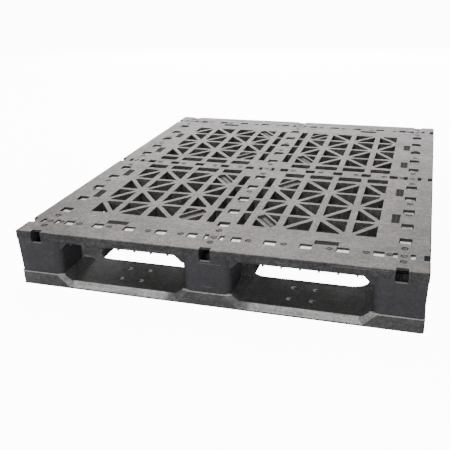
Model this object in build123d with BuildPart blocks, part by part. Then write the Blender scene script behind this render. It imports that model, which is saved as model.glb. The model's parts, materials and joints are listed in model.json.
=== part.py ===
from build123d import *

import os
from math import atan, degrees, hypot

# Nine-legged plastic pallet for fork entry from all four sides. Millimetres, +Z up.
# X runs across the narrow front, Y from front to rear, and the origin is on the floor
# under the middle of the deck.

# ---------------------------------------------------------------- overall size
WIDTH = 1016.0
LENGTH = 1219.0
HEIGHT = 150.0
SIDE_INSET = 1.0  # legs and base stand this far inside the deck's two long edges

# ---------------------------------------------------------------- levels above the floor
CUP_FLOOR = 8.0  # where the legs stand in the base's foot cups
RUNNER_TOP = 20.0
FOOT_TOP = 36.0
LEG_SHOULDER = 105.0  # where the gussets leave the leg
BOSS_TOP = 112.0  # leg bosses meet deck bosses here
RIB_UNDER = 121.0  # lowest edge of the deck's ribs
LEG_TOP = 128.0  # leg rim and skirt meet here
SKIN_UNDER = 145.0  # underside of the deck's top skin

# ---------------------------------------------------------------- deck walls
SKIN = HEIGHT - SKIN_UNDER
SKIRT = 5.0
CORNER_RADIUS = 6.0
TOP_EDGE_RADIUS = 4.0
RIB = 4.0
RIM = 4.0  # wall round each quadrant of the lattice

# ---------------------------------------------------------------- bars and their channels
LINES_X = (-449.5, 0.0, 449.5)  # lengthwise channels
LINES_Y = (-535.0, 0.0, 535.0)  # crosswise channels
BAR = 25.0
BAR_WALL = 2.0
BAR_GAP = 1.5  # end clearance of the bars
CHANNEL = 28.0
CHANNEL_WALL = 4.0
CHANNEL_OUTER = CHANNEL + 2 * CHANNEL_WALL
LONG_BAR_TOP = 144.0
CROSS_BAR_TOP = 146.0
WEB = 3.0  # webs under the bars
NOTCH_WIDTH = 27.0
NOTCH_DEPTH = 15.0
NOTCH_FLOOR = 120.0

# ---------------------------------------------------------------- pockets over the bars
CROSS_POCKETS = ((56.5, 25.0), (139.3, 29.0), (225.6, 29.0), (311.9, 29.0), (393.5, 25.0))  # x, width
CROSS_POCKET_SPAN = 25.0
LONG_POCKETS = (82.0, 171.0, 268.0, 364.0, 453.0)  # y
LONG_POCKET_WIDTH = 30.0
LONG_POCKET_SPAN = 29.0
SLIT_OFFSET = 19.5  # narrow slits beside each crossing of two channels
SLIT_WIDTH = 11.0
CROSS_DRAINS = (86.5, 173.0, 281.0, 365.5, 418.0)  # x
LONG_DRAINS = (48.0, 210.0, 290.0, 495.0, 564.0)  # y
DRAIN_RADIUS = 2.5
DRAIN_RING = (4.8, 8.0)  # inner and outer radius of the groove round each drain hole
DRAIN_RING_DEPTH = 2.2

# ---------------------------------------------------------------- lattice, one quadrant, from the middle out
COLUMNS = ((70.8, 130.3), (148.3, 216.6), (234.6, 302.9), (320.9, 380.0))
ROWS = ((81.0, 163.2), (175.7, 258.9), (271.4, 355.0), (367.6, 447.0))
SLOT = (30.0, 50.6)  # lengthwise slots beside the middle channel
CROSS_SLOT = (30.0, 63.0)  # crosswise slots beside the middle channel
DIAGONAL = 13.0
HUB_RADIUS = 21.0
TWIN_BAR = 6.0
TWIN_SPACING = 34.0
TWIN_CORNER = 8.0
STRAP_TOP = 143.0
STRAP_UNDER = 130.0
STRAP_SLOT = 3.0  # narrow slot along the middle of each strap

# ---------------------------------------------------------------- grip strips
STRIP_LENGTH = 53.0
STRIP_WIDTH = 17.0
STRIP_TOP = HEIGHT - 0.8
STRIP_SEAT = 145.5
STRIP_GAP = 2.0
STRIP_CORNER = 2.0
STRIP_GROOVE = 1.2
STRIP_GROOVE_SPACING = 7.0
SIDE_STRIPS_X = 419.0
SIDE_STRIPS_Y = (128.0, 320.0)
END_STRIPS_X = 270.5
END_STRIPS_Y = 506.0

# ---------------------------------------------------------------- legs
LEG_X = ((-507.0, -386.0), (-62.0, 62.0), (386.0, 507.0))
LEG_Y = ((-609.5, -485.0), (-62.0, 62.0), (485.0, 609.5))
SIDE_NAMES = ("left", "middle", "right")
END_NAMES = ("front", "middle", "rear")
LEG_RADIUS = 25.0
LEG_CORNER = 8.0  # radius between two outer faces
LEG_INNER_CORNER = 2.0  # the same corner of the leg's hollow and tenon
LEG_TAPER = 3.0  # the leg is this much smaller on each side at the foot
LEG_WALL = 8.5
TENON_INSET = 7.5
TENON_WALL = 4.5
LEG_FLOOR = 6.0
GUSSET = LEG_TOP - LEG_SHOULDER
GUSSET_INSET = 10.0  # from the leg's own edges to its first rib
GUSSET_RIB = 4.0
GUSSET_PITCH = 20.0
BOSS_RADIUS = 8.6
DECK_BOSS_RADIUS = 7.0
BOSS_INSET = 19.0  # from the leg's sides to the boss centres
SCREW_HOLE_RADIUS = 4.0
SCREW_RADIUS = 3.7
SCREW_HEAD_RADIUS = 7.5
SCREW_HEAD = 5.0
HEAD_RECESS_RADIUS = 8.5
HEAD_RECESS = 5.5
SCREW_TIP = 138.0
PILOT_END = 139.5
SCREW_SOCKET_RADIUS = 3.5
SCREW_SOCKET_DEPTH = 3.0

# ---------------------------------------------------------------- base frame
BASE_WIDTH = WIDTH - 2 * SIDE_INSET
BASE_CORNER = 9.0
WINDOW_X = (72.0, 368.0)
WINDOW_Y = (72.0, 459.0)
WINDOW_RADIUS = 40.0
LIP = 4.0
BEVEL = 9.0
WINDOW_BEVEL = 6.0
FOOT_SPREAD = 46.0  # how far a foot's ramp would reach at floor level
FACET_TOP = (19.0, 5.3)  # corner facet of a foot: along the outer face, along the ramp
FACET_FLOOR = (28.5, 8.0)
RAMP_CHAMFER = 12.0  # between two ramps
UNDER_POCKET = 15.0
UNDER_PITCH = 44.0
UNDER_RIB = 4.0
UNDER_MARGIN = BEVEL + 2  # from a stretch's edges to its first pocket
RUNNER_HOLE_RADIUS = 4.0
RUNNER_HOLE_SPACING = 55.0
CUP_GAP = 0.3  # round the legs' tenons


def both(values):
    """Each value with its mirror image."""
    return [sign * value for value in values for sign in (-1, 1)]


def middle(span):
    return (span[0] + span[1]) / 2


def extent(span):
    return span[1] - span[0]


def mirrored_spans(spans):
    """Spans on the positive side, mirrored and put in rising order."""
    return [(-high, -low) for low, high in reversed(spans)] + list(spans)


# ================================================================ lattice layout
# Each quadrant has four columns and four rows. Diagonals alternate from cell to cell, so that
# they meet in stars. The cells beside the middle, in a quadrant's first and last rows, carry
# a pair of thin bars with a lower, slotted strap between them instead of one diagonal.
columns = mirrored_spans(COLUMNS)
rows = mirrored_spans(ROWS)
cells = []
for row_number, row in enumerate(rows):
    for column_number, column in enumerate(columns):
        rises = (row_number % 4 + column_number % 4) % 2 == 1
        twin = column_number in (3, 4) and row_number % 4 in (0, 3)
        cells.append((column, row, rises, twin))

outer_x = COLUMNS[-1][1] + DIAGONAL / 2
inner_x = COLUMNS[0][0] - DIAGONAL / 2
outer_y = ROWS[-1][1] + DIAGONAL / 2
inner_y = ROWS[0][0] - DIAGONAL / 2


def grid_lines(spans, low, high):
    """Centre lines of the bars between spans, with the two ends."""
    gaps = [(first[1] + second[0]) / 2 for first, second in zip(spans, spans[1:])]
    return [low] + gaps + [high]


quadrants_x = (
    grid_lines(columns[:4], -outer_x, -inner_x),
    grid_lines(columns[4:], inner_x, outer_x),
)
quadrants_y = (
    grid_lines(rows[:4], -outer_y, -inner_y),
    grid_lines(rows[4:], inner_y, outer_y),
)
stars = [
    (x, y)
    for lines_x in quadrants_x
    for lines_y in quadrants_y
    for i, x in enumerate(lines_x)
    for j, y in enumerate(lines_y)
    if (i + j) % 2 == 1
]


def diagonal_place(column, row, rises, shift=0.0):
    """Centre and direction of a cell's diagonal, moved sideways by shift, and its length."""
    run = extent(column) + DIAGONAL
    rise = extent(row) + DIAGONAL
    angle = degrees(atan(rise / run)) if rises else -degrees(atan(rise / run))
    centre = Location((middle(column), middle(row), 0), (0, 0, angle))
    return centre * Location((0, shift, 0)), hypot(run, rise)


with BuildSketch() as openings:
    cell_faces = []
    bar_faces = []
    for column, row, rises, twin in cells:
        with Locations((middle(column), middle(row))):
            if twin:
                cell = RectangleRounded(extent(column), extent(row), TWIN_CORNER, mode=Mode.PRIVATE)
            else:
                cell = Rectangle(extent(column), extent(row), mode=Mode.PRIVATE)
        cell_faces.append(cell)
        shifts = (-TWIN_SPACING / 2, TWIN_SPACING / 2) if twin else (0.0,)
        for shift in shifts:
            place, reach = diagonal_place(column, row, rises, shift)
            with Locations(place):
                bar = Rectangle(reach, TWIN_BAR if twin else DIAGONAL, mode=Mode.PRIVATE)
            bar_faces.append(bar)
    add(cell_faces)
    add(bar_faces, mode=Mode.SUBTRACT)
    with Locations(*stars):
        RegularPolygon(HUB_RADIUS, 8, rotation=22.5, mode=Mode.SUBTRACT)
    for row in rows:
        with Locations(*[(x, middle(row)) for x in both([middle(SLOT)])]):
            Rectangle(extent(SLOT), extent(row))
    for column in columns:
        with Locations(*[(middle(column), y) for y in both([middle(CROSS_SLOT)])]):
            Rectangle(extent(column), extent(CROSS_SLOT))

quadrant_x = (SLOT[0] - RIM, COLUMNS[-1][1] + RIM)
quadrant_y = (CROSS_SLOT[0] - RIM, ROWS[-1][1] + RIM)
with BuildSketch() as lattice_bars:
    with Locations(*[(x, y) for x in both([middle(quadrant_x)]) for y in both([middle(quadrant_y)])]):
        Rectangle(extent(quadrant_x), extent(quadrant_y))
    add(openings.sketch, mode=Mode.SUBTRACT)

strap_width = TWIN_SPACING / 2 - STRAP_SLOT / 2
with BuildSketch() as straps:
    for column, row, rises, twin in cells:
        if twin:
            for shift in both([(TWIN_SPACING / 2 + STRAP_SLOT / 2) / 2]):
                place, reach = diagonal_place(column, row, rises, shift)
                with Locations(place):
                    Rectangle(reach, strap_width)

# ================================================================ leg footprints
# Each leg knows its outer faces, which are flush with the pallet's edge. Its other faces look
# into a fork tunnel and carry gussets at the top and a ramp at the foot.
legs = []
for end, span_y in enumerate(LEG_Y):
    for side, span_x in enumerate(LEG_X):
        outer = {
            "-x": side == 0,
            "+x": side == 2,
            "-y": end == 0,
            "+y": end == 2,
        }
        legs.append((f"leg_{END_NAMES[end]}_{SIDE_NAMES[side]}", span_x, span_y, outer))


def grown(span, low, high):
    return (span[0] - low, span[1] + high)


def tunnel_growth(span_x, span_y, outer, amount):
    """The leg's footprint, grown only on the faces that look into a tunnel."""
    wide = grown(span_x, 0 if outer["-x"] else amount, 0 if outer["+x"] else amount)
    deep = grown(span_y, 0 if outer["-y"] else amount, 0 if outer["+y"] else amount)
    return wide, deep


def leg_outline(span_x, span_y, outer, inset=0.0):
    """Draws a leg's outline, made smaller by inset on each side."""
    width = extent(span_x) - 2 * inset
    depth = extent(span_y) - 2 * inset
    with Locations((middle(span_x), middle(span_y))):
        RectangleRounded(width, depth, LEG_RADIUS - inset)
    side = outer["+x"] - outer["-x"]
    end = outer["+y"] - outer["-y"]
    if side and end:
        patch = 2 * LEG_RADIUS
        corner = (middle(span_x) + side * (width - patch) / 2, middle(span_y) + end * (depth - patch) / 2)
        with Locations(corner):
            RectangleRounded(patch, patch, max(LEG_CORNER - inset, LEG_INNER_CORNER))


# ================================================================ top deck
border_ribs_x = [96.2, 139.3, 182.5, 225.6, 268.8, 311.9, 355.0, 398.0]
border_ribs_y = [121.6, 169.5, 217.4, 265.2, 313.3, 361.3, 409.0, 453.0]
inner_width = WIDTH - 2 * SKIRT
inner_length = LENGTH - 2 * SKIRT
end_border = inner_length / 2 - outer_y
side_border = inner_width / 2 - outer_x

with BuildSketch() as border_ribs:
    with Locations(*[(x, y) for x in both(border_ribs_x) for y in both([outer_y + end_border / 2])]):
        Rectangle(RIB, end_border)
    with Locations(*[(x, y) for x in both([outer_x + side_border / 2]) for y in both(border_ribs_y)]):
        Rectangle(side_border, RIB)
    with Locations(*[(0, y) for y in both([outer_y + 30.0, outer_y + 122.0])]):
        Rectangle(inner_width, RIB)
    with Locations(*[(x, 0) for x in both([outer_x + 12.0, outer_x + 100.0])]):
        Rectangle(RIB, inner_length)

with BuildSketch() as low_ribs:
    add(border_ribs.sketch)
    add(lattice_bars.sketch)
    for _, span_x, span_y, outer in legs:
        wide, deep = tunnel_growth(span_x, span_y, outer, GUSSET + 1)
        with Locations((middle(wide), middle(deep))):
            Rectangle(extent(wide) + 2, extent(deep) + 2, mode=Mode.SUBTRACT)


def long_walls(length):
    """Both walls of each lengthwise channel."""
    centres = [(x + s * (CHANNEL + CHANNEL_WALL) / 2, 0) for x in LINES_X for s in (-1, 1)]
    with Locations(*centres):
        Rectangle(CHANNEL_WALL, length)


def cross_walls(length):
    """Both walls of each crosswise channel."""
    centres = [(0, y + s * (CHANNEL + CHANNEL_WALL) / 2) for y in LINES_Y for s in (-1, 1)]
    with Locations(*centres):
        Rectangle(length, CHANNEL_WALL)


strip_places = {}
for side_name, sign_x in (("left", -1), ("right", 1)):
    for number, y in enumerate(sorted(both(SIDE_STRIPS_Y)), start=1):
        place = Location((sign_x * SIDE_STRIPS_X, y, 0), (0, 0, 90))
        strip_places[f"grip_strip_{side_name}_{number}"] = place
for end_name, sign_y in (("front", -1), ("rear", 1)):
    for number, x in enumerate(sorted(both([END_STRIPS_X])), start=1):
        place = Location((x, sign_y * END_STRIPS_Y, 0))
        strip_places[f"grip_strip_{end_name}_{number}"] = place

boss_places = [
    (x, y)
    for _, span_x, span_y, _ in legs
    for x in (span_x[0] + BOSS_INSET, span_x[1] - BOSS_INSET)
    for y in (span_y[0] + BOSS_INSET, span_y[1] - BOSS_INSET)
]

low_length = LENGTH - 2 * (LEG_WALL + 1)
low_width = BASE_WIDTH - 2 * (LEG_WALL + 1)
long_web_under = LONG_BAR_TOP - BAR - WEB
cross_web_under = CROSS_BAR_TOP - BAR - WEB
web_y = both([middle(pair) for pair in zip(LONG_POCKETS, LONG_POCKETS[1:])])
web_x = both([(first[0] + second[0]) / 2 for first, second in zip(CROSS_POCKETS, CROSS_POCKETS[1:])])

with BuildPart() as top_deck:
    # Skin with the lattice openings, its outer edge rounded.
    with BuildSketch(Plane.XY.offset(SKIN_UNDER)):
        RectangleRounded(WIDTH, LENGTH, CORNER_RADIUS)
        add(openings.sketch, mode=Mode.SUBTRACT)
    extrude(amount=SKIN)
    fillet(top_deck.faces().sort_by(Axis.Z)[-1].outer_wire().edges(), TOP_EDGE_RADIUS)

    added = []
    # Skirt, ribs and the upper part of the bar channels.
    with BuildSketch(Plane.XY.offset(LEG_TOP)):
        RectangleRounded(WIDTH, LENGTH, CORNER_RADIUS)
        Rectangle(inner_width, inner_length, mode=Mode.SUBTRACT)
        add(border_ribs.sketch)
        long_walls(inner_length)
        cross_walls(inner_width)
    added.append(extrude(amount=SKIN_UNDER - LEG_TOP, mode=Mode.PRIVATE))
    # Lattice bars, and the bars and ribs that hang below the skirt, clear of the legs.
    with BuildSketch(Plane.XY.offset(LEG_TOP)):
        add(lattice_bars.sketch)
    added.append(extrude(amount=SKIN_UNDER - LEG_TOP, mode=Mode.PRIVATE))
    with BuildSketch(Plane.XY.offset(RIB_UNDER)):
        add(low_ribs.sketch)
    added.append(extrude(amount=LEG_TOP - RIB_UNDER, mode=Mode.PRIVATE))
    # Low straps between the twin bars.
    with BuildSketch(Plane.XY.offset(STRAP_UNDER)):
        add(straps.sketch)
    added.append(extrude(amount=STRAP_TOP - STRAP_UNDER, mode=Mode.PRIVATE))
    # Pads under the strip seats.
    with BuildSketch(Plane.XY.offset(STRAP_TOP)):
        with Locations(*strip_places.values()):
            Rectangle(STRIP_LENGTH + 8, STRIP_WIDTH + 8)
    added.append(extrude(amount=SKIN_UNDER - STRAP_TOP, mode=Mode.PRIVATE))
    # Lower part of the bar channels, which stays inside the legs' outer walls.
    with BuildSketch(Plane.XY.offset(long_web_under)):
        long_walls(low_length)
    added.append(extrude(amount=LEG_TOP - long_web_under, mode=Mode.PRIVATE))
    with BuildSketch(Plane.XY.offset(cross_web_under)):
        cross_walls(low_width)
    added.append(extrude(amount=LEG_TOP - cross_web_under, mode=Mode.PRIVATE))
    # Thicker roof over the lengthwise bars.
    with BuildSketch(Plane.XY.offset(LONG_BAR_TOP)):
        with Locations(*[(x, 0) for x in LINES_X]):
            Rectangle(CHANNEL_OUTER, inner_length)
    added.append(extrude(amount=SKIN_UNDER - LONG_BAR_TOP, mode=Mode.PRIVATE))
    # Bosses that take the tie screws.
    with BuildSketch(Plane.XY.offset(BOSS_TOP)):
        with Locations(*boss_places):
            Circle(DECK_BOSS_RADIUS)
    added.append(extrude(amount=SKIN_UNDER - BOSS_TOP, mode=Mode.PRIVATE))
    add(added)

    removed = []
    # Room for the bars.
    with BuildSketch(Plane.XY.offset(LONG_BAR_TOP - BAR)):
        with Locations(*[(x, 0) for x in LINES_X]):
            Rectangle(CHANNEL, LENGTH)
    removed.append(extrude(amount=BAR, mode=Mode.PRIVATE))
    with BuildSketch(Plane.XY.offset(CROSS_BAR_TOP - BAR)):
        with Locations(*[(0, y) for y in LINES_Y]):
            Rectangle(WIDTH, CHANNEL)
    removed.append(extrude(amount=BAR, mode=Mode.PRIVATE))
    # Pockets and slits that open on the bars.
    with BuildSketch(Plane.XY.offset(LONG_BAR_TOP - 1)):
        for y in LINES_Y:
            for x, width in CROSS_POCKETS:
                with Locations(*[(mirrored, y) for mirrored in both([x])]):
                    Rectangle(width, CROSS_POCKET_SPAN)
            with Locations(*[(x + offset_x, y) for x in LINES_X for offset_x in both([SLIT_OFFSET])]):
                Rectangle(SLIT_WIDTH, CROSS_POCKET_SPAN)
        with Locations(*[(x, y) for x in LINES_X for y in both(LONG_POCKETS)]):
            Rectangle(LONG_POCKET_WIDTH, LONG_POCKET_SPAN)
    removed.append(extrude(amount=HEIGHT - LONG_BAR_TOP + 1, mode=Mode.PRIVATE))
    # Open ends of the channels.
    with BuildSketch(Plane.XY.offset(NOTCH_FLOOR)):
        with Locations(*[(x, y) for x in LINES_X for y in both([LENGTH / 2])]):
            Rectangle(NOTCH_WIDTH, 2 * NOTCH_DEPTH)
        with Locations(*[(x, y) for x in both([WIDTH / 2]) for y in LINES_Y]):
            Rectangle(2 * NOTCH_DEPTH, NOTCH_WIDTH)
    removed.append(extrude(amount=HEIGHT - NOTCH_FLOOR, mode=Mode.PRIVATE))
    # Seats of the grip strips.
    with BuildSketch(Plane.XY.offset(STRIP_SEAT)):
        with Locations(*strip_places.values()):
            Rectangle(STRIP_LENGTH + 2 * STRIP_GAP, STRIP_WIDTH + 2 * STRIP_GAP)
    removed.append(extrude(amount=HEIGHT - STRIP_SEAT, mode=Mode.PRIVATE))
    # Drain holes, each in the middle of a round groove.
    drain_places = [(x, y) for x in both(CROSS_DRAINS) for y in LINES_Y]
    drain_places += [(x, y) for x in LINES_X for y in both(LONG_DRAINS)]
    drain_places += [(x, y) for x in LINES_X for y in LINES_Y]
    with BuildSketch(Plane.XY.offset(LONG_BAR_TOP - 1)):
        with Locations(*drain_places):
            Circle(DRAIN_RADIUS)
    removed.append(extrude(amount=HEIGHT - LONG_BAR_TOP + 1, mode=Mode.PRIVATE))
    with BuildSketch(Plane.XY.offset(HEIGHT - DRAIN_RING_DEPTH)):
        with Locations(*drain_places):
            Circle(DRAIN_RING[1])
            Circle(DRAIN_RING[0], mode=Mode.SUBTRACT)
    removed.append(extrude(amount=DRAIN_RING_DEPTH, mode=Mode.PRIVATE))
    # Pilot holes of the tie screws.
    with BuildSketch(Plane.XY.offset(BOSS_TOP)):
        with Locations(*boss_places):
            Circle(SCREW_HOLE_RADIUS)
    removed.append(extrude(amount=PILOT_END - BOSS_TOP, mode=Mode.PRIVATE))
    add(removed, mode=Mode.SUBTRACT)

    # Webs under the bars, midway between the pockets.
    with BuildSketch(Plane.XY.offset(long_web_under)):
        with Locations(*[(x, y) for x in LINES_X for y in web_y]):
            Rectangle(CHANNEL_OUTER, LONG_POCKET_SPAN)
    extrude(amount=WEB)
    with BuildSketch(Plane.XY.offset(cross_web_under)):
        with Locations(*[(x, y) for x in web_x for y in LINES_Y]):
            Rectangle(LONG_POCKET_SPAN, CHANNEL_OUTER)
    extrude(amount=WEB)

# ================================================================ legs
def gusset_places(span_x, span_y, outer):
    """Where the triangular ribs of a leg's tunnel faces stand, and which way each one extrudes.

    Each place's X axis points out of the face, its Y axis up and its Z axis along the face.
    """
    for axis, across, along in (("x", span_x, span_y), ("y", span_y, span_x)):
        reach = extent(along) - 2 * GUSSET_INSET - GUSSET_RIB
        count = round(reach / GUSSET_PITCH)
        starts = [along[0] + GUSSET_INSET + number * reach / count for number in range(count + 1)]
        for sign, face in zip((-1, 1), across):
            if outer[("-" if sign < 0 else "+") + axis]:
                continue
            for start in starts:
                if axis == "x":
                    place = Plane((face, start, LEG_SHOULDER), x_dir=(sign, 0, 0), z_dir=(0, -sign, 0))
                    yield place, -sign
                else:
                    place = Plane((start, face, LEG_SHOULDER), x_dir=(0, sign, 0), z_dir=(sign, 0, 0))
                    yield place, sign


leg_parts = {}
for name, span_x, span_y, outer in legs:
    centre = (middle(span_x), middle(span_y))
    size = (extent(span_x), extent(span_y))
    own_bosses = [place for place in boss_places if abs(place[0] - centre[0]) < size[0] / 2
                  and abs(place[1] - centre[1]) < size[1] / 2]
    taper = degrees(atan(LEG_TAPER / (LEG_TOP - FOOT_TOP)))
    with BuildPart() as leg:
        # Tapered column, with a tenon below it that stands in the foot cup.
        with BuildSketch(Plane.XY.offset(LEG_TOP)):
            leg_outline(span_x, span_y, outer)
        extrude(amount=-(LEG_TOP - FOOT_TOP), taper=taper)
        with BuildSketch(Plane.XY.offset(CUP_FLOOR)):
            leg_outline(span_x, span_y, outer, TENON_INSET)
        extrude(amount=FOOT_TOP - CUP_FLOOR)
        # Gussets that carry the deck out over the tunnels.
        for place, turn in gusset_places(span_x, span_y, outer):
            with BuildSketch(place):
                Polygon((-LEG_RADIUS, 0), (0, 0), (GUSSET, GUSSET), (-LEG_RADIUS, GUSSET), align=None)
            extrude(amount=turn * GUSSET_RIB)
        # Hollow inside, open at the top.
        with BuildSketch(Plane.XY.offset(CUP_FLOOR + LEG_FLOOR)):
            leg_outline(span_x, span_y, outer, TENON_INSET + TENON_WALL)
        extrude(amount=LEG_TOP - CUP_FLOOR - LEG_FLOOR, mode=Mode.SUBTRACT)
        with BuildSketch(Plane.XY.offset(FOOT_TOP + LEG_WALL)):
            leg_outline(span_x, span_y, outer, LEG_WALL)
        extrude(amount=LEG_TOP - FOOT_TOP - LEG_WALL, mode=Mode.SUBTRACT)
        # Cross ribs and screw bosses inside, up to the deck's bosses.
        with BuildSketch(Plane.XY.offset(CUP_FLOOR + LEG_FLOOR)):
            with Locations(centre):
                Rectangle(size[0] - 2 * TENON_INSET - TENON_WALL, RIB)
                Rectangle(RIB, size[1] - 2 * TENON_INSET - TENON_WALL)
            with Locations(*own_bosses):
                Circle(BOSS_RADIUS)
        extrude(amount=BOSS_TOP - CUP_FLOOR - LEG_FLOOR)
        with BuildSketch(Plane.XY.offset(CUP_FLOOR)):
            with Locations(*own_bosses):
                Circle(SCREW_HOLE_RADIUS)
        extrude(amount=BOSS_TOP - CUP_FLOOR, mode=Mode.SUBTRACT)
        # Gaps in the rim where the deck's bar channels cross it: a wide gap on a tunnel face,
        # and the channel's own open end on an outer face.
        for axis, lines, across in (("x", LINES_Y, span_x), ("y", LINES_X, span_y)):
            line = min(lines, key=lambda value: abs(value - centre[1 if axis == "x" else 0]))
            for sign, face in zip((-1, 1), across):
                is_outer = outer[("-" if sign < 0 else "+") + axis]
                width = NOTCH_WIDTH if is_outer else CHANNEL_OUTER + 2
                floor = NOTCH_FLOOR if is_outer else long_web_under - 1
                reach = 2 * (GUSSET + 1)
                with BuildSketch(Plane.XY.offset(floor)):
                    with Locations((face, line) if axis == "x" else (line, face)):
                        Rectangle(*((reach, width) if axis == "x" else (width, reach)))
                extrude(amount=LEG_TOP - floor, mode=Mode.SUBTRACT)
    leg_parts[name] = leg

# ================================================================ base frame
def foot_outline(span_x, span_y, outer, spread, facet, ramp_chamfer):
    """Corner points of a foot at one level, counter-clockwise from its low x, low y corner.

    spread is how far the ramps reach past the leg, and facet the size of the slanted corner
    between an outer face and a ramp, measured along each of them. A corner between two outer
    faces stays sharp here, and the base's own outline rounds it.
    """
    wide, deep = tunnel_growth(span_x, span_y, outer, spread)
    points = []
    for x_side, y_side in (("-x", "-y"), ("+x", "-y"), ("+x", "+y"), ("-x", "+y")):
        corner = (wide[0] if x_side == "-x" else wide[1], deep[0] if y_side == "-y" else deep[1])
        inward = (1 if x_side == "-x" else -1, 1 if y_side == "-y" else -1)
        if outer[x_side] and outer[y_side]:
            points.append(corner)
            continue
        if outer[y_side]:
            cut = facet
        elif outer[x_side]:
            cut = (facet[1], facet[0])
        else:
            cut = (ramp_chamfer, ramp_chamfer)
        along_x = (corner[0] + inward[0] * cut[0], corner[1])
        along_y = (corner[0], corner[1] + inward[1] * cut[1])
        leads_with_x = (x_side, y_side) in (("+x", "-y"), ("-x", "+y"))
        points += [along_x, along_y] if leads_with_x else [along_y, along_x]
    return points


windows = [(x, y) for x in both([middle(WINDOW_X)]) for y in both([middle(WINDOW_Y)])]
window_size = (extent(WINDOW_X), extent(WINDOW_Y))

with BuildPart() as feet:
    for _, span_x, span_y, outer in legs:
        with BuildSketch(Plane.XY):
            Polygon(*foot_outline(span_x, span_y, outer, FOOT_SPREAD, FACET_FLOOR, RAMP_CHAMFER), align=None)
        with BuildSketch(Plane.XY.offset(FOOT_TOP)):
            Polygon(*foot_outline(span_x, span_y, outer, 0, FACET_TOP, RAMP_CHAMFER), align=None)
        loft()
    with BuildSketch():
        RectangleRounded(BASE_WIDTH, LENGTH, BASE_CORNER)
        with Locations(*windows):
            RectangleRounded(*window_size, WINDOW_RADIUS, mode=Mode.SUBTRACT)
    extrude(amount=FOOT_TOP, mode=Mode.INTERSECT)

# Runner stretches between the feet: centre and open size of each, clear of feet and bevels.
tunnel_x = (LEG_X[1][1] + GUSSET, LEG_X[2][0] - GUSSET)
tunnel_y = (LEG_Y[1][1] + GUSSET, LEG_Y[2][0] - GUSSET)
runners_x = ((-BASE_WIDTH / 2, -WINDOW_X[1]), (-WINDOW_X[0], WINDOW_X[0]), (WINDOW_X[1], BASE_WIDTH / 2))
runners_y = ((-LENGTH / 2, -WINDOW_Y[1]), (-WINDOW_Y[0], WINDOW_Y[0]), (WINDOW_Y[1], LENGTH / 2))
stretches = [
    ((middle(span), y), (extent(span), extent(tunnel_y)))
    for span in runners_x
    for y in both([middle(tunnel_y)])
]
stretches += [
    ((x, middle(span)), (extent(tunnel_x), extent(span)))
    for span in runners_y
    for x in both([middle(tunnel_x)])
]

with BuildPart() as base_frame:
    # Runners: a thin upright lip, then a bevel up to the top face.
    with BuildSketch():
        RectangleRounded(BASE_WIDTH, LENGTH, BASE_CORNER)
    extrude(amount=LIP)
    with BuildSketch(Plane.XY.offset(LIP)):
        RectangleRounded(BASE_WIDTH, LENGTH, BASE_CORNER)
    extrude(amount=RUNNER_TOP - LIP, taper=degrees(atan(BEVEL / (RUNNER_TOP - LIP))))
    # Windows, opening upwards.
    with BuildSketch():
        with Locations(*windows):
            RectangleRounded(*window_size, WINDOW_RADIUS)
    extrude(amount=RUNNER_TOP, mode=Mode.SUBTRACT)
    with BuildSketch(Plane.XY.offset(RUNNER_TOP)):
        with Locations(*windows):
            RectangleRounded(*[side + 2 * WINDOW_BEVEL for side in window_size], WINDOW_RADIUS + WINDOW_BEVEL)
    extrude(amount=-WINDOW_BEVEL, taper=45, mode=Mode.SUBTRACT)
    # Foot cups.
    add(feet.part)
    with BuildSketch(Plane.XY.offset(CUP_FLOOR)):
        for _, span_x, span_y, outer in legs:
            leg_outline(span_x, span_y, outer, TENON_INSET - CUP_GAP)
    extrude(amount=FOOT_TOP - CUP_FLOOR, mode=Mode.SUBTRACT)
    # Hollow undersides of the runners, with ribs between the pockets.
    with BuildSketch():
        for centre, size in stretches:
            room = [side - 2 * UNDER_MARGIN for side in size]
            counts = [max(1, round(side / UNDER_PITCH)) for side in room]
            pitch = [side / count for side, count in zip(room, counts)]
            with Locations(centre):
                with GridLocations(*pitch, *counts):
                    Rectangle(*[step - UNDER_RIB for step in pitch])
    extrude(amount=UNDER_POCKET, mode=Mode.SUBTRACT)
    # Drain holes in each stretch, and the recessed holes for the tie screws.
    with BuildSketch():
        for centre, _ in stretches:
            with Locations(centre):
                with GridLocations(RUNNER_HOLE_SPACING, RUNNER_HOLE_SPACING, 2, 2):
                    Circle(RUNNER_HOLE_RADIUS)
        with Locations(*boss_places):
            Circle(SCREW_HOLE_RADIUS)
    extrude(amount=RUNNER_TOP, mode=Mode.SUBTRACT)
    with BuildSketch():
        with Locations(*boss_places):
            Circle(HEAD_RECESS_RADIUS)
    extrude(amount=HEAD_RECESS, mode=Mode.SUBTRACT)

# ================================================================ bars, strips and screws
def bar_section():
    Rectangle(BAR, BAR)
    Rectangle(BAR - 2 * BAR_WALL, BAR - 2 * BAR_WALL, mode=Mode.SUBTRACT)


cross_bar_length = WIDTH - 2 * NOTCH_DEPTH
long_bar_length = 2 * (LINES_Y[-1] - BAR / 2 - BAR_GAP)
bar_parts = {}
for side_name, x in zip(SIDE_NAMES, LINES_X):
    with BuildPart() as bar:
        with BuildSketch(Plane.XZ.offset(-long_bar_length / 2)):
            with Locations((x, LONG_BAR_TOP - BAR / 2)):
                bar_section()
        extrude(amount=long_bar_length)
    bar_parts[f"bar_long_{side_name}"] = bar
for end_name, y in (("front", LINES_Y[0]), ("rear", LINES_Y[-1])):
    with BuildPart() as bar:
        with BuildSketch(Plane.YZ.offset(-cross_bar_length / 2)):
            with Locations((y, CROSS_BAR_TOP - BAR / 2)):
                bar_section()
        extrude(amount=cross_bar_length)
    bar_parts[f"bar_cross_{end_name}"] = bar

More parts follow.
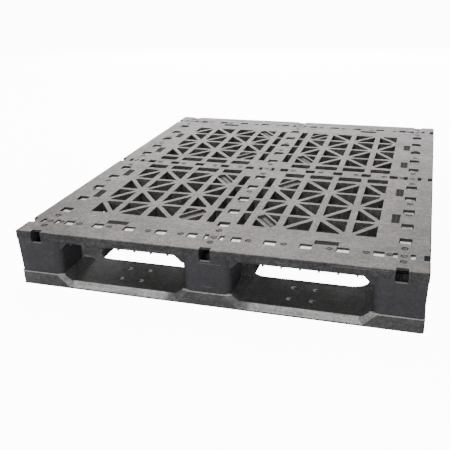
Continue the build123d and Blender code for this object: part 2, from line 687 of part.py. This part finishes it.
strip_parts = {}
for name, place in strip_places.items():
    with BuildPart() as strip:
        with BuildSketch(Plane.XY.offset(STRIP_SEAT)):
            with Locations(place):
                RectangleRounded(STRIP_LENGTH, STRIP_WIDTH, STRIP_CORNER)
        extrude(amount=STRIP_TOP - STRIP_SEAT)
        with BuildSketch(Plane.XY.offset(STRIP_TOP)):
            with Locations(place):
                with GridLocations(0, STRIP_GROOVE_SPACING, 1, 2):
                    Rectangle(STRIP_LENGTH - STRIP_WIDTH / 2, STRIP_GROOVE)
        extrude(amount=-STRIP_GROOVE, mode=Mode.SUBTRACT)
    strip_parts[name] = strip

with BuildPart() as tie_screws:
    with BuildSketch(Plane.XY.offset(HEAD_RECESS - SCREW_HEAD)):
        with Locations(*boss_places):
            Circle(SCREW_HEAD_RADIUS)
    extrude(amount=SCREW_HEAD)
    with BuildSketch(Plane.XY.offset(HEAD_RECESS)):
        with Locations(*boss_places):
            Circle(SCREW_RADIUS)
    extrude(amount=SCREW_TIP - HEAD_RECESS)
    with BuildSketch(Plane.XY.offset(HEAD_RECESS - SCREW_HEAD)):
        with Locations(*boss_places):
            RegularPolygon(SCREW_SOCKET_RADIUS, 6)
    extrude(amount=SCREW_SOCKET_DEPTH, mode=Mode.SUBTRACT)

# ================================================================ files
parts = {"top_deck": top_deck, "base_frame": base_frame, "tie_screws": tie_screws}
parts.update(leg_parts)
parts.update(bar_parts)
parts.update(strip_parts)

os.makedirs("parts", exist_ok=True)
for name, piece in parts.items():
    piece.part.label = name
    export_step(piece.part, f"parts/{name}.step")
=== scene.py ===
import json
from math import radians

import bpy
from mathutils import Matrix, Vector

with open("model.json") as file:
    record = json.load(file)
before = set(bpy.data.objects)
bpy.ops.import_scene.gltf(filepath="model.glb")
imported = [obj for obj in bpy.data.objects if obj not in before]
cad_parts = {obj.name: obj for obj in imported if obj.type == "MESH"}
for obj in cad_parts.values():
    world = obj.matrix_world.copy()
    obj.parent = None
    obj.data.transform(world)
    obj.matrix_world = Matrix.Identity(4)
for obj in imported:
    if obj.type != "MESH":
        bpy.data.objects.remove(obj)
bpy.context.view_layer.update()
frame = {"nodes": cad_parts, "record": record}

# Nine-legged plastic pallet: looks, light and camera around the imported CAD model, in metres.
nodes = frame["nodes"]

# ---------------------------------------------------------------- places on the object
# Heights, and distances in plan from the pallet's middle, as in the CAD model. Each pair says where a
# change of finish, or of painted light or shade, begins and where it is complete.
# DECK_SURFACE and STRAP_SURFACE place the painted shade in the deck's recesses.
DECK_SURFACE = (0.1481, 0.1493)  # above the floors of grooves and seats
STRAP_SURFACE = (0.1435, 0.1445)  # from the straps' tops up to the floors of the seats
# Outer edges are pale with wear and painted highlight, except on the skirt's lower part and the legs' upper
# ends.
DECK_JOINT = (0.135, 0.139)  # the skirt's lower part shows no wear
LEG_JOINT = (0.116, 0.120)  # nor do the legs' upper ends
# BAR_LEDGE places painted light on the legs' ledges.
BAR_LEDGE = (0.1198, 0.1202)  # legs' ledges under the bar openings
# FOOT_LEDGE, with FOOT_FACE_X and FOOT_FACE_Y, places painted highlight on the feet's outer ledges.
FOOT_LEDGE = (0.0340, 0.0352)
RUNNER_SURFACE = (0.0192, 0.0198)
RIM_X = (0.480, 0.485)  # the base's outer slopes
RIM_Y = (0.585, 0.590)
FOOT_FACE_X = (0.498, 0.502)
FOOT_FACE_Y = (0.598, 0.602)
MIDDLE_FOOT_X = (0.095, 0.115)
LATTICE_X = (0.024, 0.392)  # nearest and furthest wall of a quadrant's openings
LATTICE_Y = (0.024, 0.457)

# Hole centres in one quarter of the pallet, and how far from them painted shade round the drains and
# painted highlight round the runner holes reach.
DRAINS = [(x, y) for x in (0.0865, 0.173, 0.281, 0.3655, 0.418) for y in (0.0, 0.535)]
DRAINS += [(x, y) for x in (0.0, 0.4495) for y in (0.048, 0.21, 0.29, 0.495, 0.564)]
# Round the drain holes the top is painted darker: painted shade.
DRAIN_SHADE = (0.0075, 0.0105)
# Pale rings of painted highlight go round the runner holes.
RUNNER_HOLES = [(x, y) for x in (0.1925, 0.2475) for y in (0.5065, 0.5615)]
RUNNER_HOLE_HIGHLIGHT = (0.006, 0.008)

# ---------------------------------------------------------------- colours, linear
# DECK_TOP is lighter than DECK_SIDE: the top is partly dusty and partly painted with light from above.
DECK_TOP = (0.142, 0.130, 0.125, 1.0)
DECK_SIDE = (0.056, 0.055, 0.060, 1.0)
# DECK_INSIDE is lighter than DECK_SIDE: painted light on the walls inside the lattice.
DECK_INSIDE = (0.085, 0.081, 0.079, 1.0)
LEG_SIDE = (0.054, 0.053, 0.060, 1.0)
# BASE_SIDE, BASE_INSIDE and BASE_TOP are one plastic in three tones, painted light and shade: outer sides
# lightest, upward faces darker, inner faces darkest.
BASE_SIDE = (0.096, 0.095, 0.096, 1.0)
BASE_INSIDE = (0.055, 0.054, 0.054, 1.0)
BASE_TOP = (0.085, 0.083, 0.082, 1.0)
# RUBBER_TOP is lighter, partly dusty and partly painted light; RUBBER_SIDE is near black on the sides and,
# as painted shade, along the top's edges.
RUBBER_TOP = (0.042, 0.040, 0.039, 1.0)
RUBBER_SIDE = (0.006, 0.006, 0.006, 1.0)
BAR_BRIGHT = (0.52, 0.51, 0.50, 1.0)
BAR_DULL = (0.38, 0.375, 0.37, 1.0)
SCREW_BRIGHT = (0.62, 0.62, 0.62, 1.0)
SCREW_DULL = (0.5, 0.5, 0.5, 1.0)
STEEL_DIRT = (0.36, 0.34, 0.32, 1.0)
# The next colour is for scratches and wear, and also for painted highlight on edges and ledges.
SCUFF_AND_HIGHLIGHT = (0.42, 0.41, 0.40, 1.0)
# The next colour is painted highlight on the base.
PAINTED_HIGHLIGHT = (0.58, 0.57, 0.56, 1.0)
BROWNISH = (1.12, 1.0, 0.84, 1.0)  # multiplies another colour

# ---------------------------------------------------------------- camera
CAMERA_PLACE = (0.4600, -1.8431, 0.7820)
CAMERA_YAW = 16.466
CAMERA_PITCH = 23.478
CAMERA_ROLL = -1.375
CAMERA_LENS = 50.14
CAMERA_SHIFT = -0.0390


def add_camera():
    """The camera at the photograph's viewing angle. Its angles are in degrees."""
    data = bpy.data.cameras.new("camera")
    data.lens = CAMERA_LENS
    data.shift_x = CAMERA_SHIFT
    camera = bpy.data.objects.new("camera", data)
    bpy.context.scene.collection.objects.link(camera)
    turn = Matrix.Rotation(radians(CAMERA_YAW), 4, "Z")
    tilt = Matrix.Rotation(radians(90 - CAMERA_PITCH), 4, "X")
    roll = Matrix.Rotation(radians(CAMERA_ROLL), 4, "Z")
    camera.matrix_world = Matrix.Translation(CAMERA_PLACE) @ turn @ tilt @ roll
    bpy.context.scene.camera = camera


# ---------------------------------------------------------------- light
WHITE_TO_CAMERA = 12.0  # strength that camera rays see as plain white
AMBIENT = 0.3


def add_softbox(name, place, target, size, power):
    """A rectangular light at a place, turned to its target."""
    data = bpy.data.lights.new(name, "AREA")
    data.shape = "RECTANGLE"
    data.size = size[0]
    data.size_y = size[1]
    data.energy = power
    light = bpy.data.objects.new(name, data)
    bpy.context.scene.collection.objects.link(light)
    direction = Vector(target) - Vector(place)
    light.location = place
    light.rotation_mode = "QUATERNION"
    light.rotation_quaternion = direction.to_track_quat("-Z", "Y")


# ---------------------------------------------------------------- node materials
class Look:
    """A Principled material, with short calls for the kinds of node used here."""

    def __init__(self, name):
        self.material = bpy.data.materials.new(name)
        self.material.use_nodes = True
        self.tree = self.material.node_tree
        self.tree.nodes.clear()
        self.shader = self.tree.nodes.new("ShaderNodeBsdfPrincipled")
        self.output = self.tree.nodes.new("ShaderNodeOutputMaterial")
        self.tree.links.new(self.shader.outputs[0], self.output.inputs["Surface"])
        coordinates = self.tree.nodes.new("ShaderNodeTexCoord")
        self.place = coordinates.outputs["Object"]
        normal = self.tree.nodes.new("ShaderNodeSeparateXYZ")
        self.tree.links.new(coordinates.outputs["Normal"], normal.inputs[0])
        self.facing_up = normal.outputs["Z"]
        place = self.tree.nodes.new("ShaderNodeSeparateXYZ")
        self.tree.links.new(self.place, place.inputs[0])
        self.height = place.outputs["Z"]
        self.along = place.outputs["Y"]
        self.far_x = self.math("ABSOLUTE", place.outputs["X"], 0.0)
        self.far_y = self.math("ABSOLUTE", self.along, 0.0)

    def feed(self, socket, value):
        """Links an output to the socket, or sets the socket to a plain value."""
        if isinstance(value, bpy.types.NodeSocket):
            self.tree.links.new(value, socket)
        else:
            socket.default_value = value

    def noise(self, per_metre, shift, detail=3.0, roughness=0.55):
        """Noise from 0 to 1, with its own number of waves per metre along X, Y and Z."""
        mapping = self.tree.nodes.new("ShaderNodeMapping")
        mapping.inputs["Scale"].default_value = per_metre
        mapping.inputs["Location"].default_value = (shift, 2.3 * shift, 5.1 * shift)
        self.tree.links.new(self.place, mapping.inputs["Vector"])
        texture = self.tree.nodes.new("ShaderNodeTexNoise")
        texture.inputs["Scale"].default_value = 1.0
        texture.inputs["Detail"].default_value = detail
        texture.inputs["Roughness"].default_value = roughness
        self.tree.links.new(mapping.outputs["Vector"], texture.inputs["Vector"])
        return texture.outputs["Fac"]

    def span(self, value, low, high, to_low=0.0, to_high=1.0):
        """The value, taken smoothly from low..high to to_low..to_high and held there."""
        node = self.tree.nodes.new("ShaderNodeMapRange")
        node.interpolation_type = "SMOOTHSTEP"
        self.feed(node.inputs["Value"], value)
        node.inputs["From Min"].default_value = low
        node.inputs["From Max"].default_value = high
        node.inputs["To Min"].default_value = to_low
        node.inputs["To Max"].default_value = to_high
        return node.outputs["Result"]

    def between(self, value, low, high, edge=0.002):
        """1 where the value lies between low and high, and 0 elsewhere."""
        above = self.span(value, low - edge, low)
        below = self.span(value, high, high + edge, 1.0, 0.0)
        return self.math("MULTIPLY", above, below)

    def nearest(self, places):
        """Distance to the nearest of some places in plan, each repeated in all four quarters."""
        here = self.tree.nodes.new("ShaderNodeCombineXYZ")
        self.feed(here.inputs["X"], self.far_x)
        self.feed(here.inputs["Y"], self.far_y)
        nearest = 1.0
        for x, y in places:
            node = self.tree.nodes.new("ShaderNodeVectorMath")
            node.operation = "DISTANCE"
            self.tree.links.new(here.outputs[0], node.inputs[0])
            node.inputs[1].default_value = (x, y, 0.0)
            nearest = self.math("MINIMUM", node.outputs["Value"], nearest)
        return nearest

    def math(self, operation, first, second):
        """One arithmetic operation on two values."""
        node = self.tree.nodes.new("ShaderNodeMath")
        node.operation = operation
        self.feed(node.inputs[0], first)
        self.feed(node.inputs[1], second)
        return node.outputs[0]

    def shade(self, value):
        """A number as a grey colour."""
        node = self.tree.nodes.new("ShaderNodeCombineColor")
        for socket in node.inputs:
            self.feed(socket, value)
        return node.outputs[0]

    def mix(self, factor, first, second, blend="MIX"):
        """Two colours blended by a factor."""
        node = self.tree.nodes.new("ShaderNodeMix")
        node.data_type = "RGBA"
        node.blend_type = blend
        self.feed(node.inputs["Factor"], factor)
        self.feed(node.inputs["A"], first)
        self.feed(node.inputs["B"], second)
        return node.outputs["Result"]

    def outer_edges(self, distance):
        """How near a point is to an outer edge, from 0 on a flat face towards 1."""
        node = self.tree.nodes.new("ShaderNodeAmbientOcclusion")
        node.samples = 6
        node.inside = True
        node.only_local = True
        node.inputs["Distance"].default_value = distance
        return self.math("SUBTRACT", 1.0, node.outputs["AO"])

    def soft_edges(self, radius):
        """Normals that turn smoothly over the model's sharp edges."""
        node = self.tree.nodes.new("ShaderNodeBevel")
        node.samples = 4
        node.inputs["Radius"].default_value = radius
        return node.outputs["Normal"]

    def bump(self, height, distance, strength, base=None):
        """Normals raised and lowered by a pattern, on top of the base normals where they are given."""
        node = self.tree.nodes.new("ShaderNodeBump")
        node.inputs["Distance"].default_value = distance
        node.inputs["Strength"].default_value = strength
        self.feed(node.inputs["Height"], height)
        if base is not None:
            self.feed(node.inputs["Normal"], base)
        return node.outputs["Normal"]


def deck_plastic():
    """The deck's plastic: dark skirt; a lighter top, partly dusty and partly painted light from above;
    lighter walls inside the lattice, painted light.

    Painted shade in recesses: the straps, 7 mm below the top, keep only some of the top's lightness, and
    grooves and seats between the two levels keep none of it.
    Painted shade darkens the top round the drain holes.
    """
    look = Look("deck_plastic")
    # Painted light: walls inside the lattice take the lighter DECK_INSIDE.
    lattice = look.math("MULTIPLY", look.between(look.far_x, *LATTICE_X),
                        look.between(look.far_y, *LATTICE_Y))
    side = look.mix(lattice, DECK_SIDE, DECK_INSIDE)
    # Painted shade: lower surfaces lose the top's lightness by depth.
    recess_shade = look.math("MAXIMUM", look.span(look.height, *DECK_SURFACE),
                      look.span(look.height, *STRAP_SURFACE, 0.45, 0.08))
    # Upward faces take the top colour: partly dusty, partly painted light from above.
    dust_and_top_light = look.math("MULTIPLY", look.span(look.facing_up, 0.45, 0.95), recess_shade)
    # Painted shade round the drain holes.
    dust_and_top_light = look.math("MULTIPLY", dust_and_top_light, look.span(look.nearest(DRAINS), *DRAIN_SHADE, 0.15, 1.0))
    colour = look.mix(dust_and_top_light, side, DECK_TOP)
    colour = weather(look, colour, (11.0, 60.0, 50.0), contrast=1.25, tint=0.4)
    above_joint = look.span(look.height, *DECK_JOINT, 0.0, 0.28)
    # Outer edges pale: wear and painted highlight.
    colour = edge_wear_and_highlight(look, colour, above_joint)
    look.feed(look.shader.inputs["Base Color"], colour)
    return look.material


def leg_plastic():
    """The legs' plastic, pale only on the ledge under each bar opening, as painted light."""
    look = Look("leg_plastic")
    # Painted light: the ledge under each bar opening is pale.
    ledge = look.between(look.height, *BAR_LEDGE, 0.0005)
    ledge = look.math("MULTIPLY", ledge, look.span(look.facing_up, 0.7, 0.9))
    colour = look.mix(ledge, LEG_SIDE, SCUFF_AND_HIGHLIGHT)
    colour = weather(look, colour, (50.0, 50.0, 8.0), contrast=0.5)
    below_joint = look.span(look.height, *LEG_JOINT, 0.4, 0.0)
    # Outer edges pale: wear and painted highlight.
    colour = edge_wear_and_highlight(look, colour, below_joint)
    look.feed(look.shader.inputs["Base Color"], colour)
    return look.material


def weather(look, colour, streak, contrast=1.0, tint=0.0):
    """Blotches, drawn streaks and scratches over a colour, with matching gloss and bump.

    contrast scales the light and dark of the patterns, and tint is how much of the surface turns brownish.
    """
    blotches = look.noise((7.0, 9.0, 12.0), shift=1.0, detail=8.0, roughness=0.75)
    mottle = look.noise((90.0, 90.0, 90.0), shift=9.0, detail=6.0, roughness=0.75)
    speckle = look.noise((240.0, 240.0, 240.0), shift=7.0, detail=4.0, roughness=0.7)
    drawn = look.noise(streak, shift=4.0, detail=6.0, roughness=0.72)
    layers = ((blotches, 0.72, 1.22), (mottle, 0.7, 1.26), (speckle, 0.64, 1.32), (drawn, 0.76, 1.2))
    for pattern, low, high in layers:
        darkest = 1.0 + contrast * (low - 1.0)
        lightest = 1.0 + contrast * (high - 1.0)
        shade = look.shade(look.span(pattern, 0.3, 0.7, darkest, lightest))
        colour = look.mix(1.0, colour, shade, "MULTIPLY")
    stain = look.span(look.noise((3.0, 3.0, 3.0), shift=8.0, detail=5.0), 0.4, 0.65, 0.0, tint)
    colour = look.mix(stain, colour, BROWNISH, "MULTIPLY")
    along_x = look.span(look.noise((9.0, 420.0, 300.0), shift=2.0, detail=2.0), 0.66, 0.74)
    along_y = look.span(look.noise((380.0, 11.0, 260.0), shift=3.0, detail=2.0), 0.68, 0.76)
    scratches = look.math("MULTIPLY", look.math("MAXIMUM", along_x, along_y), 0.2)
    colour = look.mix(scratches, colour, SCUFF_AND_HIGHLIGHT)
    look.feed(look.shader.inputs["Roughness"], look.span(drawn, 0.3, 0.7, 0.48, 0.66))
    look.shader.inputs["Specular IOR Level"].default_value = 0.25
    grain = look.noise((900.0, 900.0, 900.0), shift=5.0, detail=2.0)
    normal = look.bump(grain, 0.0002, 0.25, look.soft_edges(0.001))
    normal = look.bump(drawn, 0.0008, 0.4, normal)
    look.feed(look.shader.inputs["Normal"], normal)
    return colour


def edge_wear_and_highlight(look, colour, amount):
    """Pale, patchy wear and painted highlight along outer edges."""
    edges = look.span(look.outer_edges(0.004), 0.45, 0.8)
    patchy = look.span(look.noise((40.0, 40.0, 40.0), shift=6.0), 0.35, 0.65, 0.25, 1.0)
    edges = look.math("MULTIPLY", edges, patchy)
    return look.mix(look.math("MULTIPLY", edges, amount), colour, SCUFF_AND_HIGHLIGHT)


def base_plastic():
    """The base frame's plastic, with painted highlight in three places: on its slopes, except at the middle
    feet, on the feet's outer ledges, and round the holes in the front and rear runners.
    """
    look = Look("base_plastic")
    # Inner faces darker than outer sides, and upward faces in their own tone: painted light and shade.
    rim = look.math("MAXIMUM", look.span(look.far_y, *RIM_Y), look.span(look.far_x, *RIM_X))
    side = look.mix(rim, BASE_INSIDE, BASE_SIDE)
    colour = look.mix(look.span(look.facing_up, 0.5, 0.95), side, BASE_TOP)
    # Painted highlight on the slopes, made patchy.
    slope = look.span(look.facing_up, 0.15, 0.4)
    slope = look.math("MULTIPLY", slope, look.span(look.facing_up, 0.6, 0.68, 1.0, 0.0))
    slope = look.math("MULTIPLY", slope, look.span(look.far_x, *MIDDLE_FOOT_X, 0.2, 1.0))
    highlight_patches = look.noise((14.0, 14.0, 260.0), shift=7.0, detail=7.0, roughness=0.75)
    slope = look.math("MULTIPLY", slope, look.span(highlight_patches, 0.3, 0.6, 0.5, 1.0))
    # Painted highlight on the feet's outer ledges.
    outside = look.math("MAXIMUM", look.span(look.far_y, *FOOT_FACE_Y), look.span(look.far_x, *FOOT_FACE_X))
    ledge = look.math("MULTIPLY", look.span(look.height, *FOOT_LEDGE), outside)
    pale = look.math("MAXIMUM", slope, look.math("MULTIPLY", ledge, 0.9))
    # Painted highlight round the runner holes.
    rings = look.math("MULTIPLY", look.span(look.nearest(RUNNER_HOLES), *RUNNER_HOLE_HIGHLIGHT, 0.75, 0.0),
                      look.span(look.height, *RUNNER_SURFACE))
    pale = look.math("MAXIMUM", pale, rings)
    colour = look.mix(pale, colour, PAINTED_HIGHLIGHT)
    colour = weather(look, colour, (16.0, 180.0, 60.0), contrast=0.8)
    # Outer edges pale: wear and painted highlight.
    colour = edge_wear_and_highlight(look, colour, 0.35)
    look.feed(look.shader.inputs["Base Color"], colour)
    return look.material


def rubber():
    """The grip strips' rubber: lighter on top, partly dusty and partly painted light, and black at its
    edges as painted shade.
    """
    look = Look("grip_rubber")
    grain = look.noise((260.0, 260.0, 260.0), shift=1.5, detail=4.0)
    dust_and_top_light = look.span(look.facing_up, 0.6, 0.98)
    # Painted shade: the top turns black near its outer edges.
    middle = look.span(look.outer_edges(0.004), 0.15, 0.5, 1.0, 0.0)
    colour = look.mix(look.math("MULTIPLY", dust_and_top_light, middle), RUBBER_SIDE, RUBBER_TOP)
    colour = look.mix(1.0, colour, look.shade(look.span(grain, 0.3, 0.7, 0.78, 1.18)), "MULTIPLY")
    look.feed(look.shader.inputs["Base Color"], colour)
    look.feed(look.shader.inputs["Roughness"], look.span(grain, 0.3, 0.7, 0.75, 0.92))
    look.shader.inputs["Specular IOR Level"].default_value = 0.12
    look.feed(look.shader.inputs["Normal"], look.bump(grain, 0.0003, 0.4, look.soft_edges(0.0006)))
    return look.material


def steel(name, bright, dull, spangle):
    """Galvanised or plated steel: spangle is the number of its crystals per metre."""
    look = Look(name)
    look.shader.inputs["Metallic"].default_value = 1.0
    flakes = look.noise((spangle, spangle, spangle), shift=2.5, detail=1.0)
    drawn = look.noise((20.0, 20.0, 20.0), shift=3.5, detail=4.0)
    colour = look.mix(look.span(flakes, 0.35, 0.65), dull, bright)
    colour = look.mix(look.span(drawn, 0.5, 0.75, 0.0, 0.35), colour, STEEL_DIRT)
    look.feed(look.shader.inputs["Base Color"], colour)
    look.feed(look.shader.inputs["Roughness"], look.span(flakes, 0.3, 0.7, 0.34, 0.52))
    look.feed(look.shader.inputs["Normal"], look.bump(flakes, 0.0001, 0.3))
    return look.material


LOOKS = {
    "deck_plastic": deck_plastic(),
    "leg_plastic": leg_plastic(),
    "base_plastic": base_plastic(),
    "grip_rubber": rubber(),
    "bar_steel": steel("bar_steel", BAR_BRIGHT, BAR_DULL, 60.0),
    "screw_steel": steel("screw_steel", SCREW_BRIGHT, SCREW_DULL, 300.0),
}

for subpart in frame["record"]["subparts"]:
    mesh = nodes[subpart["node"]].data
    for number in range(max(1, len(mesh.materials))):
        if number < len(mesh.materials):
            mesh.materials[number] = LOOKS[subpart["material_slot"]]
        else:
            mesh.materials.append(LOOKS[subpart["material_slot"]])


# ---------------------------------------------------------------- floor and surroundings
FLOOR_HALF = 40.0
FLOOR_DROP = 0.0005  # keeps the floor clear of the base's underside
WHITE_BESIDE_X = (0.38, 0.42)
WHITE_BEHIND_Y = (0.5, 0.58)
WHITE_IN_FRONT_Y = (-0.385, -0.30)


def add_floor():
    """A pale floor that looks white to the camera, and fades into shade under the pallet."""
    look = Look("floor")
    look.shader.inputs["Base Color"].default_value = (0.8, 0.8, 0.8, 1.0)
    look.shader.inputs["Roughness"].default_value = 0.9
    rays = look.tree.nodes.new("ShaderNodeLightPath")
    glow = look.math("MULTIPLY", rays.outputs["Is Camera Ray"], WHITE_TO_CAMERA)
    clear = look.math("MAXIMUM", look.span(look.far_x, *WHITE_BESIDE_X),
                      look.span(look.along, *WHITE_BEHIND_Y))
    clear = look.math("MAXIMUM", clear, look.span(look.along, *WHITE_IN_FRONT_Y, 1.0, 0.0))
    glow = look.math("MULTIPLY", glow, clear)
    look.shader.inputs["Emission Color"].default_value = (1.0, 1.0, 1.0, 1.0)
    look.feed(look.shader.inputs["Emission Strength"], glow)
    mesh = bpy.data.meshes.new("floor")
    turns = ((-1, -1), (1, -1), (1, 1), (-1, 1))
    mesh.from_pydata([(x * FLOOR_HALF, y * FLOOR_HALF, 0.0) for x, y in turns], [], [(0, 1, 2, 3)])
    mesh.materials.append(look.material)
    floor = bpy.data.objects.new("floor", mesh)
    bpy.context.scene.collection.objects.link(floor)
    floor.location.z = -FLOOR_DROP


def add_world():
    """Dim white surroundings that the camera sees as plain white."""
    world = bpy.data.worlds.new("studio")
    bpy.context.scene.world = world
    world.use_nodes = True
    tree = world.node_tree
    background = tree.nodes["Background"]
    background.inputs["Color"].default_value = (1.0, 1.0, 1.0, 1.0)
    rays = tree.nodes.new("ShaderNodeLightPath")
    strength = tree.nodes.new("ShaderNodeMapRange")
    strength.inputs["To Min"].default_value = AMBIENT
    strength.inputs["To Max"].default_value = WHITE_TO_CAMERA
    tree.links.new(rays.outputs["Is Camera Ray"], strength.inputs["Value"])
    tree.links.new(strength.outputs["Result"], background.inputs["Strength"])


add_camera()
add_floor()
add_world()
add_softbox("overhead", (-0.7, 1.5, 2.3), (-0.1, 0.3, 0.0), (2.4, 1.8), 124.0)
add_softbox("rear", (-0.7, 3.6, 0.8), (-0.1, 0.5, 0.1), (4.0, 1.0), 125.0)
add_softbox("front_fill", (0.1, -3.2, 1.6), (0.0, -0.5, 0.05), (1.6, 1.0), 52.0)
